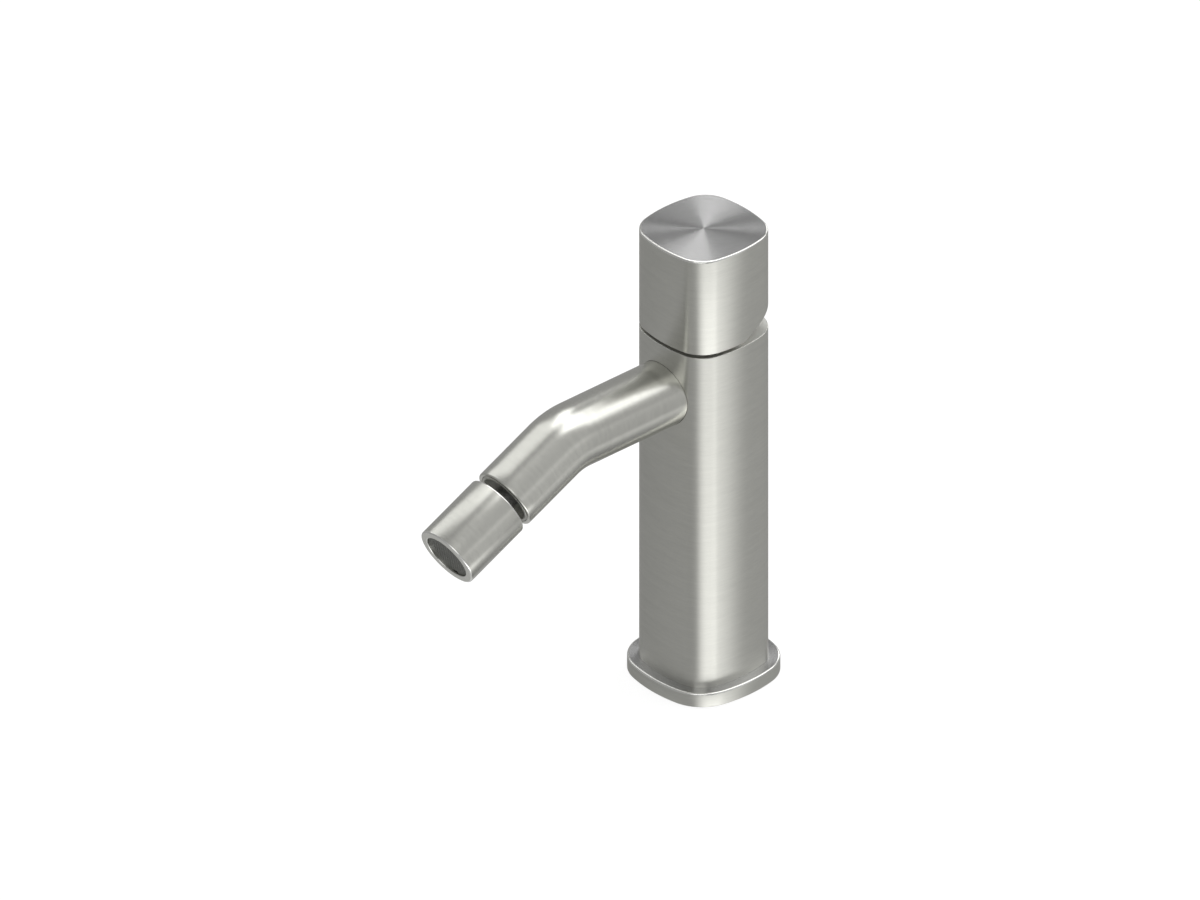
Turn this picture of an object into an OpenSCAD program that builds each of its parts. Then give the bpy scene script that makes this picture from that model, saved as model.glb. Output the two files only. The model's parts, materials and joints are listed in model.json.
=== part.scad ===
// Single-lever bidet mixer: a column on a flange, a tilting and turning knob on top, a bent spout
// and a nozzle on a ball joint. +Z is up, the deck is at z = 0, the spout points along -Y.

/* [Column] */
// Width of the column across its flats
column_w = 40; // [38.5:0.5:46]
// Radius of the column's slightly bulged sides
side_r = 49; // [44:1:80]
// Radius of the column's corners
corner_r = 11.2; // [9.5:0.1:12.5]
// Height of the column's top over the deck
column_top = 140; // [130:1:180]
// Wall of the column at the middle of each side, beside the core
shell_wall = 3; // [2.4:0.1:3.2]
// Width of the ledge that the core stands on
ledge_w = 1.5; // [1:0.1:2.5]
// Height of that ledge over the deck
ledge_z = 62; // [50:1:75]
// Height of the round spigot under the column
spigot_h = 2.5; // [1.5:0.1:3]
// Wall of the round spigot under the column
spigot_wall = 2.5; // [1.5:0.1:3]

/* [Flange] */
// Height of the flange
flange_h = 5.5; // [5:0.1:9]
// How far the flange reaches out past the column
flange_reach = 4.2; // [3.5:0.1:9]
// Chamfer on the flange's and the knob's top edges
edge_chamfer = 0.5; // [0.2:0.1:1]
// Inner radius of the deck gasket
gasket_r = 17.8; // [17:0.1:18.5]
// Width of the deck gasket
gasket_w = 3; // [2:0.1:3.6]
// Thickness of the deck gasket
gasket_h = 1.5; // [1:0.1:2]

/* [Knob] */
// Height of the knob
knob_h = 38.2; // [34:0.1:48]
// Gap between the knob and the column
knob_gap = 1.3; // [1.1:0.1:3]
// Wall of the knob at the middle of each side
knob_wall = 5; // [3:0.1:5.5]
// Thickness of the knob's top
knob_roof = 5.5; // [3:0.1:7]
// Angle of the slanted cut at the knob's back
heel_angle = 27.6; // [26.5:0.1:34]
// Where that cut starts, behind the knob's axis
heel_y = 0.8; // [-1:0.1:1.5]
// Height of the insert that grips the stem
insert_h = 24; // [16:0.5:24]
// Height of the grub screw over the column's top
grub_height = 17; // [15:0.5:22]
// Radius of the grub screw
grub_r = 2; // [1.5:0.1:2.5]
// Depth of the grub screw's outer end inside the insert
grub_sink = 3.3; // [2.5:0.1:6]
// Radius of the grub screw's hexagon socket, at its corners
grub_key_r = 1.15; // [0.8:0.05:1.2]
// Depth of that socket
grub_key_depth = 2; // [1.5:0.1:3]

/* [Core] */
// Depth of the core's top below the column's top
core_drop = 3; // [2.6:0.1:3.2]
// Radius of the chamber round the cartridge
chamber_r = 13.6; // [13.2:0.1:13.7]
// Radius of the thread that takes the cartridge nut
nut_thread_r = 14; // [13.8:0.1:14.4]
// Distance of the inlet ports from the middle plane
port_x = 7.2; // [6.8:0.1:7.6]
// Place of the inlet ports in front of the core's axis
port_y = 3; // [2.4:0.1:3.4]
// Radius of the inlet ports' threads
port_r = 4.5; // [4:0.1:5]
// Depth of the inlet ports' threads
port_depth = 12; // [8:0.5:14]
// Radius of the ducts from the ports to the cartridge
duct_r = 2.6; // [2.2:0.1:2.8]
// Place of the fixing stud's hole behind the core's axis
stud_y = 8.5; // [8:0.1:10]
// Radius of the fixing stud's thread
stud_r = 3.4; // [2.9:0.1:4]
// Depth of the fixing stud's thread
stud_depth = 16; // [10:0.5:18]

/* [Cartridge] */
// Outer radius of the cartridge
cartridge_r = 12.5; // [12.3:0.1:12.6]
// Wall of the cartridge's casing round the discs
casing_wall = 2; // [1.6:0.1:2.2]
// Radius of the rotor's neck
neck_r = 8.6; // [8.2:0.1:8.7]
// Wall of the casing round the rotor's neck
neck_wall = 1.75; // [1.2:0.05:1.9]
// Height of the cartridge's base
base_h = 5; // [4.5:0.1:6]
// Height of the fixed disc
fixed_disc_h = 3.6; // [3:0.1:4.2]
// Height of the moving disc
moving_disc_h = 3.4; // [3:0.1:4]
// Height of the disc carrier's plate
carrier_h = 5; // [4:0.1:6]
// Half of the width of the disc carrier across its flats
carrier_half = 7.5; // [7:0.1:7.6]
// Travel of the moving disc from closed to open
disc_travel = 4.65; // [4.2:0.05:4.8]
// Radius of the stem's ball foot
foot_r = 3; // [2.6:0.1:3.2]
// Length from the foot's centre to the pivot pin
stem_arm = 11; // [10.5:0.1:11.2]
// Radius of the stem's shaft
stem_r = 3.6; // [3.2:0.1:3.8]
// Radius of the stem between its shaft and its foot
ankle_r = 2.2; // [1.8:0.1:2.2]
// Length of the stem over the pivot pin
stem_top = 31; // [29:0.5:33]
// Radius of the pivot pin
pin_r = 1.25; // [1:0.05:1.4]
// Depth of the pin's ends in the rotor's neck
pin_inset = 0.4; // [0.2:0.1:0.6]
// Depth of the pivot pin below the column's top
pivot_drop = 5; // [4.6:0.1:5.4]
// Wall of the collar round the stem's foot
collar_wall = 2; // [1.4:0.1:2.1]
// Height of that collar over its plate
collar_h = 5; // [4:0.1:5]
// Room over the collar inside the casing
collar_room = 0.6; // [0.5:0.1:1]
// Thickness of the casing's roof
casing_roof = 3.4; // [3.2:0.1:3.8]
// Height of the casing's neck
neck_h = 4; // [3:0.1:4.2]
// How far the knob turns to each side, in degrees
turn_limit = 50; // [30:1:60]
// Radius of the lug that stops the turn
lug_r = 0.7; // [0.5:0.05:0.75]
// Height of that lug
lug_h = 1.5; // [1:0.1:1.6]
// Depth of the groove for the cartridge's O-ring
casing_groove = 0.5; // [0.4:0.05:0.6]
// Section radius of that O-ring
casing_seal_r = 0.75; // [0.6:0.05:0.8]
// Radius of the base's pegs
peg_r = 1.2; // [0.8:0.1:1.2]
// Distance of the pegs from the axis
peg_y = 10; // [9.8:0.1:10.4]
// Length of the pegs
peg_l = 2; // [1.5:0.1:2.5]
// Width of the key slots in the cartridge nut
nut_key_w = 3; // [2:0.1:4]
// Depth of those slots
nut_key_depth = 1.5; // [1:0.1:2.5]

/* [Waterways in the cartridge] */
// Distance of the discs' inlets from the middle plane
inlet_x = 2.55; // [2.55:0.05:2.7]
// Place of the discs' inlets in front of the axis
inlet_y = 2.55; // [2.45:0.05:2.6]
// Radius of the discs' inlets
inlet_r = 1.6; // [1.3:0.1:1.6]
// Place of the discs' outlet behind the axis
outlet_y = 1.2; // [1.1:0.1:1.4]
// Radius of the discs' outlet
mix_r = 1.6; // [1.3:0.1:1.6]
// Half of the width of the moving disc's cavity
cavity_r = 2; // [1.8:0.05:2.05]
// Place of that cavity's front end, behind the axis
cavity_y = 2; // [2:0.05:2.2]
// Length of that cavity between its end centres
cavity_l = 2.4; // [2:0.1:2.6]
// Depth of that cavity
cavity_depth = 2; // [1.5:0.1:2.4]
// Height of the rubber rings under and over the base
seal_h = 1.3; // [1:0.1:1.3]
// Width of the rubber rings under the base
port_seal_w = 1.2; // [0.8:0.1:1.3]
// Width of the rubber rings over the base
disc_seal_w = 0.8; // [0.5:0.1:0.8]
// Web between those rings and the passages in the base
base_web = 0.6; // [0.4:0.1:0.6]

/* [Spout] */
// Outer radius of the spout and the nozzle
spout_r = 12; // [11.6:0.1:12.6]
// Wall of the spout
spout_wall = 1.5; // [1.2:0.1:1.8]
// Depth of the spout's axis below the column's top
spout_drop = 19.7; // [18.9:0.1:21]
// Distance of the bend's corner from the column's axis
bend_y = 65.7; // [55:0.1:90]
// Angle of the bend, downwards
bend_angle = 25; // [15:1:40]
// Radius of the bend at the spout's axis
bend_r = 24; // [18:1:35]
// Length from the bend's corner to the spout's end
outlet_l = 30.4; // [26:0.1:45]
// Radius of the nipple's thread in the core
nipple_thread_r = 5.95; // [5.5:0.05:6.1]
// Radius of the nipple's bore
nipple_bore_r = 4.2; // [3.5:0.1:4.6]
// Length of the nipple inside the spout
nipple_l = 9; // [7:0.5:14]
// Width and depth of the nipple's O-ring groove
nipple_groove = 1.3; // [1:0.1:1.5]
// Rounding of the spout's and the nozzle's end edges
rim_round = 0.6; // [0.3:0.1:0.7]

/* [Ball joint] */
// Gap between the spout and the nozzle
nozzle_gap = 3.1; // [3:0.1:4.5]
// Wall of the socket ring in the spout's end
socket_wall = 1.05; // [0.8:0.05:1.6]
// Depth of the socket's dark recess
socket_depth = 7; // [5:0.5:8]
// Thickness of the socket's floor
socket_floor = 3; // [2.5:0.1:4]
// Radius of the ball stem where it turns in the socket
journal_r = 5; // [4.8:0.1:5.4]
// Radius of the ball stem's neck
ball_neck_r = 4.2; // [3.9:0.1:4.3]
// Radius of the ball stem's bore
ball_bore_r = 3.2; // [2.5:0.1:3.3]
// Radius of the ball
ball_r = 7.2; // [7.1:0.05:7.3]
// Depth of the ball's centre below the nozzle's top
ball_drop = 7; // [6.8:0.1:7.4]
// Length of the ball past its centre
ball_cut = 6; // [5.6:0.1:6.2]
// Tilt of the nozzle to each side, in degrees
nozzle_tilt = 12; // [6:1:12]
// Thickness of the ball stem's flange
stem_flange_h = 1.5; // [1:0.1:2]
// How far that flange and the clip reach past the journal
stem_flange_w = 1.4; // [1:0.1:2]
// Thickness of the clip behind the socket
clip_h = 1; // [0.8:0.1:1.2]
// Depth of the clip's groove
clip_depth = 0.6; // [0.4:0.1:0.8]
// Opening of the clip
clip_gap = 3; // [2:0.1:4]
// Length of the ball stem past its clip
stem_end = 1.2; // [0.8:0.1:2]
// Section radius of the ball stem's O-ring
stem_seal_r = 0.5; // [0.4:0.05:0.6]

/* [Nozzle] */
// Length of the nozzle
nozzle_l = 26.8; // [26.6:0.1:34]
// How far the ball's seat reaches past the ball's centre
seat_reach = 1.5; // [1:0.1:1.6]
// Section radius of the ball's O-ring
ball_seal_r = 0.85; // [0.7:0.05:0.85]
// Height of the seat under that O-ring
seal_seat_h = 3.5; // [2.5:0.1:3.5]
// Height of the ring nut under the seats
seat_nut_h = 3; // [2:0.1:3]
// Radius of the ring nut's bore
seat_nut_bore = 6; // [5:0.1:6.4]
// Width of the slot across the ring nut
seat_nut_slot = 2.5; // [1.5:0.1:3]
// Thickness of the lip over the ball seat
lip_h = 1.8; // [1.4:0.1:2.2]
// Radius of the hole in the lip
lip_r = 6.2; // [6:0.05:6.3]
// Radius of the nozzle's bore round the ball
nozzle_bore_r = 8.8; // [8.75:0.05:9]
// Radius of the nozzle's bore round the aerator
outlet_r = 9.1; // [9.05:0.05:9.6]
// Length of the bore round the aerator
outlet_depth = 9.3; // [9.1:0.1:9.5]
// How far the aerator sits inside the outlet's rim
aerator_inset = 0.9; // [0.4:0.1:1]
// Wall of the aerator's casing
aerator_wall = 1; // [0.8:0.1:1.4]
// Width of the lip inside that casing
aerator_lip_w = 1.2; // [0.8:0.1:1.5]
// Height of that lip
aerator_lip_h = 0.8; // [0.6:0.1:1]
// Width of the two notches in that casing's rim
notch_w = 2.4; // [1.5:0.1:3]
// Depth of those notches
notch_depth = 1; // [0.5:0.1:1.2]
// Thickness of the aerator's gasket
top_gasket_h = 1; // [0.8:0.1:1]
// Width of that gasket
top_gasket_w = 2.2; // [1.5:0.1:3]
// Height of the flow regulator
regulator_h = 2.4; // [2:0.1:2.5]
// Ports through the flow regulator
regulator_ports = 8; // [6:1:10]
// Distance of those ports from the axis
regulator_port_y = 5; // [4.5:0.1:5.5]
// Radius of those ports
regulator_port_r = 0.8; // [0.6:0.1:1]
// Thickness of each screen
screen_h = 0.5; // [0.4:0.1:0.5]
// Distance between the screens
screen_gap = 0.5; // [0.4:0.1:0.6]
// Slots across each screen
screen_slots = 5; // [3:2:5]
// Width of those slots
screen_slot_w = 1.4; // [1:0.1:1.6]
// Rim of the screens
screen_rim = 1.2; // [1:0.1:2]
// Thickness of the grille
grille_h = 1.2; // [0.8:0.1:1.4]
// Radius of the grille's holes
hole_r = 0.75; // [0.5:0.05:0.85]
// Distance between the rows of those holes
hole_pitch = 2.3; // [2.1:0.05:2.35]
// Rows of holes round the middle hole of the aerator's grille
grille_rows = 3; // [2:1:3]

/* [Fits] */
// Running clearance of a pin, a journal or a guide
run_gap = 0.05; // [0.02:0.01:0.1]
// Clearance of pieces that are pushed or screwed together
fit_gap = 0.05; // [0.02:0.01:0.1]
// Clearance of the stem's foot in its collar
foot_gap = 0.15; // [0.1:0.01:0.2]
// Clearance between the core and the column's bore
core_gap = 0.1; // [0.05:0.01:0.2]
// Clearance of pieces that pass over one another
pass_gap = 0.15; // [0.1:0.01:0.2]
// Clearance between an O-ring and the walls it seals
seal_gap = 0.02; // [0.01:0.01:0.04]
// Clearance of the rotor's neck in the cover ring
cover_gap = 0.4; // [0.3:0.05:0.6]
// Depth of the cover ring below the column's top
cover_drop = 0.4; // [0.3:0.1:0.8]
// Depth of the rotor's top below the column's top
rotor_drop = 1.4; // [1:0.1:1.6]
// Depth of the nut's top below the core's top
nut_drop = 0.5; // [0.3:0.1:1]

/* [Hidden] */
$fn = 96;

// Points on each side arc and each corner arc of the outline
side_steps = 12;
corner_steps = 14;
// Rings round the spout's bend, and points round each ring
bend_steps = 8;
spout_sides = 64;
// Overlap of a cutting tool past the face that it cuts
over = 1;

// Column and flange
half_w = column_w / 2;
bore_r = half_w - shell_wall;
shank_r = bore_r - ledge_w;
spigot_r = shank_r + spigot_wall;
core_r = bore_r - core_gap;
core_top = column_top - core_drop;
cover_top = column_top - cover_drop;

// Cartridge, stacked down from the pivot pin
pivot_z = column_top - pivot_drop;
foot_z = pivot_z - stem_arm;
carrier_z = foot_z - foot_r - carrier_h;
moving_disc_z = carrier_z - moving_disc_h;
fixed_disc_z = moving_disc_z - run_gap - fixed_disc_h;
seat_z = fixed_disc_z - base_h;
collar_z = carrier_z + carrier_h;
collar_top = collar_z + collar_h;
collar_bore_r = foot_r + foot_gap;
collar_r = collar_bore_r + collar_wall;
casing_r = cartridge_r - casing_wall;
casing_top = collar_top + collar_room;
shoulder_z = casing_top + casing_roof;
neck_bore_r = neck_r + pass_gap;
neck_outer_r = neck_bore_r + neck_wall;
neck_top = shoulder_z + neck_h;
rotor_r = casing_r - pass_gap;
rotor_top = column_top - rotor_drop;
rotor_shelf = casing_top - pass_gap;
nut_top = core_top - nut_drop;
chamber_top = shoulder_z - 2 * pass_gap;
casing_seal_z = shoulder_z - 2 * casing_seal_r - pass_gap;
casing_groove_r = cartridge_r - casing_groove;
tilt_limit = asin(disc_travel / stem_arm);

// The lug runs on the circle midway between the rotor's neck and the casing's wall
lug_y = (neck_bore_r + casing_r) / 2;
lug_turn = turn_limit + 1 + asin((lug_r + pass_gap) / lug_y);

// Heights of the passages in the cartridge's base, between its upper and lower rings
passage_z = seat_z + seal_h + base_web;
passage_top = fixed_disc_z - seal_h - base_web;

// Knob and stem
knob_bottom = column_top + knob_gap;
knob_top = knob_bottom + knob_h;
knob_cavity_r = half_w - knob_wall;
insert_r = knob_cavity_r - fit_gap;
insert_top = knob_top - knob_roof;
insert_z = insert_top - insert_h;
grub_z = column_top + grub_height;
grub_y = stem_r + fit_gap;
grub_l = insert_r - grub_sink - grub_y;

// Spout
spout_z = column_top - spout_drop;
spout_bore_r = spout_r - spout_wall;
spout_root = core_r + core_gap;
bend_t = bend_r * tan(bend_angle / 2);
nipple_r = spout_bore_r - fit_gap;

// Ball joint and nozzle, measured along the outlet's axis from the bend's corner
nozzle_start = outlet_l + nozzle_gap;
ball_w = nozzle_start + ball_drop;
socket_r = spout_bore_r - fit_gap;
socket_bore_r = socket_r - socket_wall;
floor_w = outlet_l - socket_depth;
floor_end = floor_w - socket_floor;
stem_seal_w = floor_w - socket_floor / 2;
clip_w = floor_end - run_gap - clip_h;
stem_flange_r = journal_r + stem_flange_w;
seat_r = nozzle_bore_r - fit_gap;
seat_ball_r = ball_r + run_gap;
seat_end = ball_drop + seat_reach;
ball_seal_drop = seat_reach + ball_seal_r + pass_gap;
seal_seat_z = ball_drop + ball_seal_drop + ball_seal_r + pass_gap;
seal_seat_bore = ball_bore_r + ball_cut * sin(nozzle_tilt) + pass_gap;
seat_nut_z = seal_seat_z + seal_seat_h;
aerator_r = outlet_r - fit_gap;
aerator_top = nozzle_l - outlet_depth;
aerator_end = nozzle_l - aerator_inset;
aerator_bore_r = aerator_r - aerator_wall;
aerator_fill_r = aerator_bore_r - fit_gap;
casing_z = aerator_top + top_gasket_h;
regulator_z = casing_z + aerator_lip_h;
screens_z = regulator_z + regulator_h;

// Distance of a corner arc's centre from both middle planes, tangent to the side arcs inside them
function corner_centre(half, side, corner) =
    let (k = side - half, d = side - corner) (sqrt(2 * d * d - k * k) - k) / 2;

function turned(p, a) = [p[0] * cos(a) - p[1] * sin(a), p[0] * sin(a) + p[1] * cos(a)];

// One quarter of the outline: the side arc that crosses +X, then the corner arc after it
function quarter(half, side, corner) =
    let (
        c = corner_centre(half, side, corner),
        k = side - half,
        t = atan2(c, c + k)
    )
    concat(
        [for (i = [0:side_steps - 1]) let (a = t * (2 * i / side_steps - 1))
            [side * cos(a) - k, side * sin(a)]],
        [for (i = [0:corner_steps - 1]) let (a = t + (90 - 2 * t) * i / corner_steps)
            [c + corner * cos(a), c + corner * sin(a)]]
    );

// The column's outline, grown by d on all sides
module outline(d = 0) {
    polygon([for (q = [0:3]) for (p = quarter(half_w + d, side_r + d, corner_r + d))
        turned(p, 90 * q)]);
}

// A block of that outline with a chamfer round its top
module chamfered_block(h, d = 0) {
    hull() {
        linear_extrude(h - edge_chamfer) outline(d);
        linear_extrude(h) outline(d - edge_chamfer);
    }
}

module ring(r_out, r_in, h) {
    difference() {
        cylinder(r = r_out, h = h);
        translate([0, 0, -over]) cylinder(r = r_in, h = h + 2 * over);
    }
}

module o_ring(r, section_r) {
    rotate_extrude() translate([r, 0]) circle(section_r);
}

// A cylinder between two heights, for a solid or for a hole
module rod(r, z0, z1) {
    translate([0, 0, z0]) cylinder(r = r, h = z1 - z0);
}

// Places its children once on each side of the middle plane
module both_sides(x, y) {
    for (s = [-1, 1]) translate([s * x, y, 0]) children();
}

// Moves its children so that +Z runs out along the spout's root from the column's axis
module along_root() {
    translate([0, 0, spout_z]) rotate([90, 0, 0]) children();
}

// Moves its children so that +Z runs along the outlet's axis from the bend's corner
module along_outlet() {
    translate([0, -bend_y, spout_z]) rotate([90 + bend_angle, 0, 0]) children();
}

module in_nozzle() {
    along_outlet() translate([0, 0, nozzle_start]) children();
}

// Outline that the moving disc and its carrier share: it stays inside the casing over the travel
module slider_outline() {
    intersection() {
        circle(rotor_r - pass_gap);
        translate([0, disc_travel]) circle(rotor_r - pass_gap);
        square([2 * carrier_half, 4 * cartridge_r], center = true);
    }
}

// Root body
module base_flange() {
    color("silver") difference() {
        chamfered_block(flange_h, flange_reach);
        rod(shank_r, -over, flange_h + over);
        rod(spigot_r + fit_gap, flange_h - spigot_h, flange_h + over);
        translate([0, 0, -over])
            ring(gasket_r + gasket_w + fit_gap, gasket_r - fit_gap, gasket_h + over);
    }
}

module flange_gasket() {
    color("dimgray") ring(gasket_r + gasket_w, gasket_r, gasket_h);
}

module column_shell() {
    color("silver") difference() {
        union() {
            translate([0, 0, flange_h]) linear_extrude(column_top - flange_h) outline();
            rod(spigot_r, flange_h - spigot_h, flange_h + over);
        }
        rod(shank_r, 0, ledge_z + over);
        rod(bore_r, ledge_z, column_top + over);
        along_root() cylinder(r = spout_r + fit_gap, h = half_w + over);
    }
}

module valve_core() {
    color("goldenrod") difference() {
        rod(core_r, ledge_z, core_top);
        rod(chamber_r, seat_z, core_top + over);
        rod(nut_thread_r, chamber_top, core_top + over);
        both_sides(port_x, -port_y) {
            rod(duct_r, ledge_z, seat_z + over);
            rod(port_r, ledge_z - over, ledge_z + port_depth);
        }
        translate([0, stud_y, 0]) rod(stud_r, ledge_z - over, ledge_z + stud_depth);
        for (s = [-1, 1]) translate([0, s * peg_y, 0])
            rod(peg_r + fit_gap, seat_z - peg_l - pass_gap, seat_z + over);
        along_root() cylinder(r = nipple_thread_r + fit_gap, h = core_r + over);
    }
}

module cover_ring() {
    color("silver") translate([0, 0, core_top])
        ring(core_r, neck_r + cover_gap, cover_top - core_top);
}

module spout_nipple() {
    color("goldenrod") along_root() difference() {
        union() {
            translate([0, 0, chamber_r + core_gap])
                cylinder(r = nipple_thread_r, h = spout_root - chamber_r);
            translate([0, 0, spout_root]) cylinder(r = nipple_r, h = nipple_l);
        }
        cylinder(r = nipple_bore_r, h = spout_root + nipple_l + over);
        translate([0, 0, spout_root + nipple_l / 2 - nipple_groove / 2])
            ring(nipple_r + over, nipple_r - nipple_groove, nipple_groove);
    }
}

module nipple_o_ring() {
    middle_r = (spout_bore_r + nipple_r - nipple_groove) / 2;
    color("dimgray") along_root() translate([0, 0, spout_root + nipple_l / 2])
        o_ring(middle_r, nipple_groove / 2 - seal_gap);
}

// A point on the spout's axis as [y, z, slope]: past the bend's corner, and within the bend
function outlet_station(l) = [-bend_y - l * cos(bend_angle), spout_z - l * sin(bend_angle), bend_angle];
function bend_station(a) = [bend_t - bend_y - bend_r * sin(a), spout_z - bend_r * (1 - cos(a)), a];

// A circle of points round such a point, square to the axis
function spout_circle(s, r) = [for (i = [0:spout_sides - 1]) let (a = 360 * i / spout_sides)
    [r * cos(a), s[0] - r * sin(a) * sin(s[2]), s[1] + r * sin(a) * cos(s[2])]];

// The tube is one surface swept along the axis: outside from root to end, then back along the bore
module spout_tube() {
    bends = [for (i = [0:bend_steps]) bend_station(bend_angle * i / bend_steps)];
    backwards = [for (i = [bend_steps:-1:0]) bends[i]];
    root = [-spout_root, spout_z, 0];
    rings = concat(
        [spout_circle(root, spout_r)],
        [for (s = bends) spout_circle(s, spout_r)],
        [spout_circle(outlet_station(outlet_l - rim_round), spout_r)],
        [spout_circle(outlet_station(outlet_l), spout_r - rim_round)],
        [spout_circle(outlet_station(outlet_l), spout_bore_r)],
        [for (s = backwards) spout_circle(s, spout_bore_r)],
        [spout_circle(root, spout_bore_r)]
    );
    n = spout_sides;
    k = len(rings);
    color("silver") polyhedron(
        points = [for (r = rings) each r],
        faces = [for (j = [0:k - 1]) for (i = [0:n - 1])
            let (near = j * n, far = (j + 1) % k * n, next = (i + 1) % n)
            [near + i, far + i, far + next, near + next]]
    );
}

module nozzle_socket() {
    bevel = socket_wall / 3;
    color("silver") along_outlet() difference() {
        union() {
            rod(socket_r, floor_end, outlet_l - bevel);
            translate([0, 0, outlet_l - bevel])
                cylinder(r1 = socket_r, r2 = socket_r - bevel, h = bevel);
        }
        rod(socket_bore_r, floor_w, outlet_l + over);
        rod(journal_r + run_gap, floor_end - over, floor_w + over);
    }
}

// Cartridge
module cartridge_base() {
    color("gainsboro") difference() {
        union() {
            rod(cartridge_r - pass_gap, seat_z, fixed_disc_z);
            for (s = [-1, 1]) translate([0, s * peg_y, 0]) rod(peg_r, seat_z - peg_l, seat_z + over);
        }
        both_sides(port_x, -port_y) {
            rod(duct_r, seat_z - over, passage_top);
            rod(duct_r + port_seal_w + fit_gap, seat_z - over, seat_z + seal_h);
        }
        both_sides(inlet_x, -inlet_y) {
            rod(inlet_r, passage_z, fixed_disc_z + over);
            rod(inlet_r + disc_seal_w + fit_gap, fixed_disc_z - seal_h, fixed_disc_z + over);
        }
        for (x = [-port_x, inlet_x]) translate([x, -inlet_y - inlet_r, passage_z])
            cube([port_x - inlet_x, 2 * inlet_r, passage_top - passage_z]);
        translate([0, outlet_y, 0]) rod(mix_r, passage_z, fixed_disc_z + over);
        translate([-mix_r, outlet_y, passage_z])
            cube([2 * mix_r, cartridge_r, passage_top - passage_z]);
    }
}

module inlet_seals() {
    color("dimgray") both_sides(port_x, -port_y) translate([0, 0, seat_z])
        ring(duct_r + port_seal_w, duct_r, seal_h);
}

module disc_seals() {
    color("dimgray") both_sides(inlet_x, -inlet_y) translate([0, 0, fixed_disc_z - seal_h])
        ring(inlet_r + disc_seal_w, inlet_r, seal_h);
}

module fixed_disc() {
    color("white") difference() {
        rod(rotor_r, fixed_disc_z, fixed_disc_z + fixed_disc_h);
        both_sides(inlet_x, -inlet_y)
            rod(inlet_r, fixed_disc_z - over, fixed_disc_z + fixed_disc_h + over);
        translate([0, outlet_y, 0])
            rod(mix_r, fixed_disc_z - over, fixed_disc_z + fixed_disc_h + over);
    }
}

module cartridge_housing() {
    color("gainsboro") difference() {
        union() {
            rod(cartridge_r, fixed_disc_z, shoulder_z);
            rod(neck_outer_r, fixed_disc_z, neck_top);
        }
        rod(casing_r, fixed_disc_z - over, casing_top);
        rod(neck_bore_r, fixed_disc_z, neck_top + over);
        translate([0, 0, casing_seal_z - casing_seal_r])
            ring(cartridge_r + over, casing_groove_r, 2 * casing_seal_r);
        rotate([0, 0, 90 - lug_turn]) rotate_extrude(angle = 2 * lug_turn)
            translate([neck_r, casing_top - over])
                square([lug_y + lug_r + run_gap - neck_r, lug_h + over]);
    }
}

module cartridge_o_ring() {
    room = (chamber_r - casing_groove_r) / 2;
    color("dimgray") translate([0, 0, casing_seal_z])
        o_ring(casing_groove_r + room, min(room, casing_seal_r) - seal_gap);
}

module cartridge_nut() {
    color("goldenrod") difference() {
        translate([0, 0, shoulder_z])
            ring(nut_thread_r - fit_gap, neck_outer_r + fit_gap, nut_top - shoulder_z);
        for (a = [0:90:270]) rotate([0, 0, a + 45])
            translate([neck_outer_r - over, -nut_key_w / 2, nut_top - nut_key_depth])
                cube([nut_thread_r, nut_key_w, nut_key_depth + over]);
    }
}

// The stem's slot gives its foot room in front and its shaft room behind, at full tilt
module cartridge_rotor() {
    guide = carrier_half + pass_gap;
    collar_guide = collar_r + pass_gap;
    slot_half = stem_r + pass_gap;
    slot_front = disc_travel + foot_r + pass_gap;
    slot_back = (rotor_top - pivot_z) * tan(tilt_limit) + stem_r / cos(tilt_limit) + pass_gap;
    color("whitesmoke") difference() {
        union() {
            rod(rotor_r, moving_disc_z, rotor_shelf);
            rod(neck_r, rotor_shelf - over, rotor_top);
            translate([0, lug_y, 0]) rod(lug_r, rotor_shelf - over, rotor_shelf + lug_h);
        }
        translate([-guide, -cartridge_r, moving_disc_z - over])
            cube([2 * guide, 2 * cartridge_r, collar_z + run_gap - moving_disc_z + over]);
        translate([-collar_guide, -cartridge_r, collar_z])
            cube([2 * collar_guide, cartridge_r + collar_guide, collar_top + pass_gap - collar_z]);
        translate([-slot_half, -slot_front, collar_z])
            cube([2 * slot_half, slot_front + slot_back, rotor_top + over - collar_z]);
        translate([-cartridge_r, 0, pivot_z]) rotate([0, 90, 0]) cylinder(r = pin_r, h = 2 * cartridge_r);
    }
}

module pivot_pin() {
    l = 2 * (neck_r - pin_inset);
    color("slategray") translate([-l / 2, 0, pivot_z]) rotate([0, 90, 0]) cylinder(r = pin_r, h = l);
}

// Knob body
module control_stem() {
    shaft_z = pivot_z - stem_r;
    color("slategray") difference() {
        union() {
            translate([0, 0, foot_z]) sphere(foot_r);
            rod(ankle_r, foot_z, shaft_z + over);
            rod(stem_r, shaft_z, pivot_z + stem_top);
        }
        translate([-cartridge_r, 0, pivot_z]) rotate([0, 90, 0])
            cylinder(r = pin_r + run_gap, h = 2 * cartridge_r);
    }
}

module knob() {
    color("silver") difference() {
        translate([0, 0, knob_bottom]) chamfered_block(knob_h);
        rod(knob_cavity_r, knob_bottom - over, insert_top);
        translate([-column_w, heel_y, knob_bottom]) rotate([heel_angle, 0, 0])
            translate([0, -column_w, -column_w]) cube([2 * column_w, 3 * column_w, column_w]);
        translate([0, 0, grub_z]) rotate([-90, 0, 0])
            cylinder(r = grub_r + pass_gap, h = column_w);
    }
}

module knob_insert() {
    color("goldenrod") difference() {
        rod(insert_r, insert_z, insert_top);
        rod(stem_r + fit_gap, insert_z - over, pivot_z + stem_top + pass_gap);
        translate([0, 0, grub_z]) rotate([-90, 0, 0])
            cylinder(r = grub_r + fit_gap, h = column_w);
    }
}

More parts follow.
